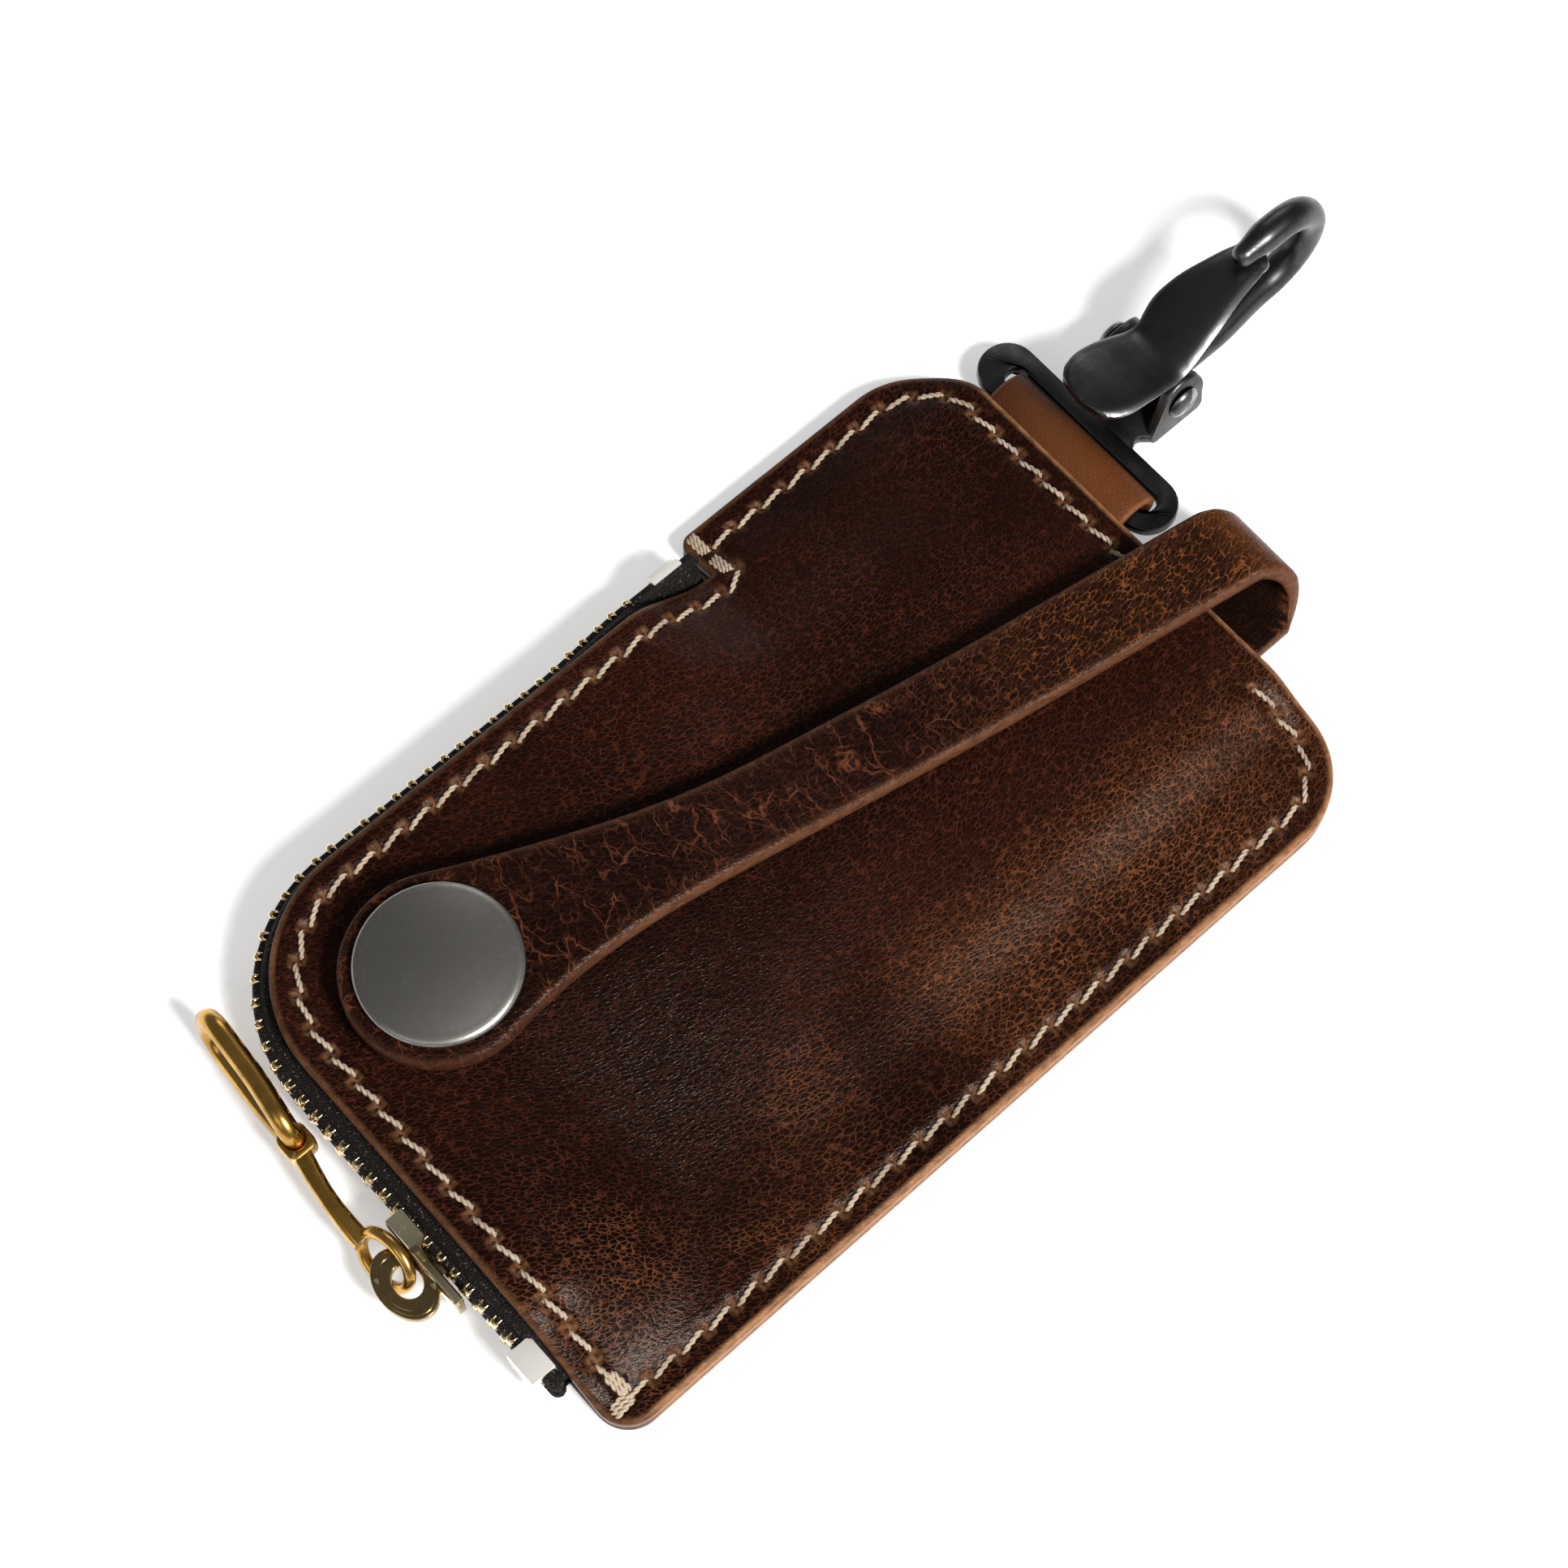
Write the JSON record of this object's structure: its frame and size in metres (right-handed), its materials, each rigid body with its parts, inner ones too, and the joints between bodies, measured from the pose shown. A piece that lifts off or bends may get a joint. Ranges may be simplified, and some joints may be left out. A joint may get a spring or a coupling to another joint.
{
  "type": "leather key case",
  "caption": "Flat stitched leather key case with a corner zip, a snap strap looped through its end to an inner key ring, and a lever hook on a leather tab.",
  "frame": {"origin": "middle of the back panel's outer face, on which the case lies", "axes": "+X along the case towards the hook, +Y towards the zipped long side, +Z out of the front panel"},
  "size_m": [0.1577, 0.0714, 0.0178],
  "materials": {
    "case_leather": "waxed pull-up leather with a worn grain",
    "strap_leather": "waxed pull-up leather, creased, with burnished edges",
    "tab_leather": "matt tan leather",
    "thread": "waxed twisted thread",
    "zip_tape": "black woven tape",
    "zip_brass": "polished light brass",
    "puller_brass": "antique brass",
    "snap_silver": "antique silver plate",
    "hook_steel": "blackened satin steel",
    "ring_steel": "nickelled steel"
  },
  "bodies": {
    "case": {"back_panel": "case_leather", "front_panel": "case_leather", "seam_thread_front": "thread", "seam_thread_back": "thread", "zip_tape_upper": "zip_tape", "zip_tape_lower": "zip_tape", "zip_teeth_upper": "zip_brass", "zip_teeth_lower": "zip_brass", "zip_end_stop": "zip_brass", "zip_start_stop": "zip_brass", "strap_bend": "strap_leather", "strap_tail": "strap_leather", "ring_rivet_cap": "ring_steel", "ring_rivet_post": "ring_steel", "snap_stud": "snap_silver", "snap_rivet": "snap_silver", "hook_tab": "tab_leather"},
    "slider": {"slider_body": "zip_brass"},
    "puller": {"puller_bar": "puller_brass"},
    "pull_ring": {"puller_ring": "puller_brass"},
    "strap_flap": {"strap_front": "strap_leather", "snap_cap": "snap_silver", "snap_socket": "snap_silver"},
    "ring": {"key_ring": "ring_steel"},
    "hook": {"hook_body": "hook_steel", "hook_pivot": "hook_steel", "hook_spring": "ring_steel"},
    "gate": {"hook_gate": "hook_steel"}
  },
  "joints": [
    {"name": "slider_run", "type": "slide", "parent": "case", "child": "slider", "axis": [0, 1, 0], "range_m": [-0.004, 0.018]},
    {"name": "puller_swing", "type": "hinge", "parent": "slider", "child": "puller", "pos_m": [-0.05945, -0.0094, 0.00545], "axis": [0, 0, 1], "range_deg": [0, 110]},
    {"name": "pull_ring_swing", "type": "hinge", "parent": "puller", "child": "pull_ring", "pos_m": [-0.05945, 0.0096, 0.00545], "axis": [0, 0, 1], "range_deg": [0, 70]},
    {"name": "strap_lift", "type": "hinge", "parent": "case", "child": "strap_flap", "pos_m": [0.0589, -0.007, 0.00625], "axis": [0, 1, 0], "range_deg": [0, 150], "deforming": ["strap_bend"]},
    {"name": "ring_turn", "type": "hinge", "parent": "case", "child": "ring", "pos_m": [-0.015, 0.002, 0.00395], "axis": [0, 0, 1], "continuous": true},
    {"name": "hook_fold", "type": "hinge", "parent": "case", "child": "hook", "pos_m": [0.0558, 0.0156, 0.00305], "axis": [0, 1, 0], "range_deg": [-75, 0]},
    {"name": "gate_press", "type": "hinge", "parent": "hook", "child": "gate", "pos_m": [0.069, 0.0156, 0.006], "axis": [0, 1, 0], "range_deg": [0, 22], "stiffness_Nm_per_rad": 0.05, "springref_deg": -22.92}
  ]
}
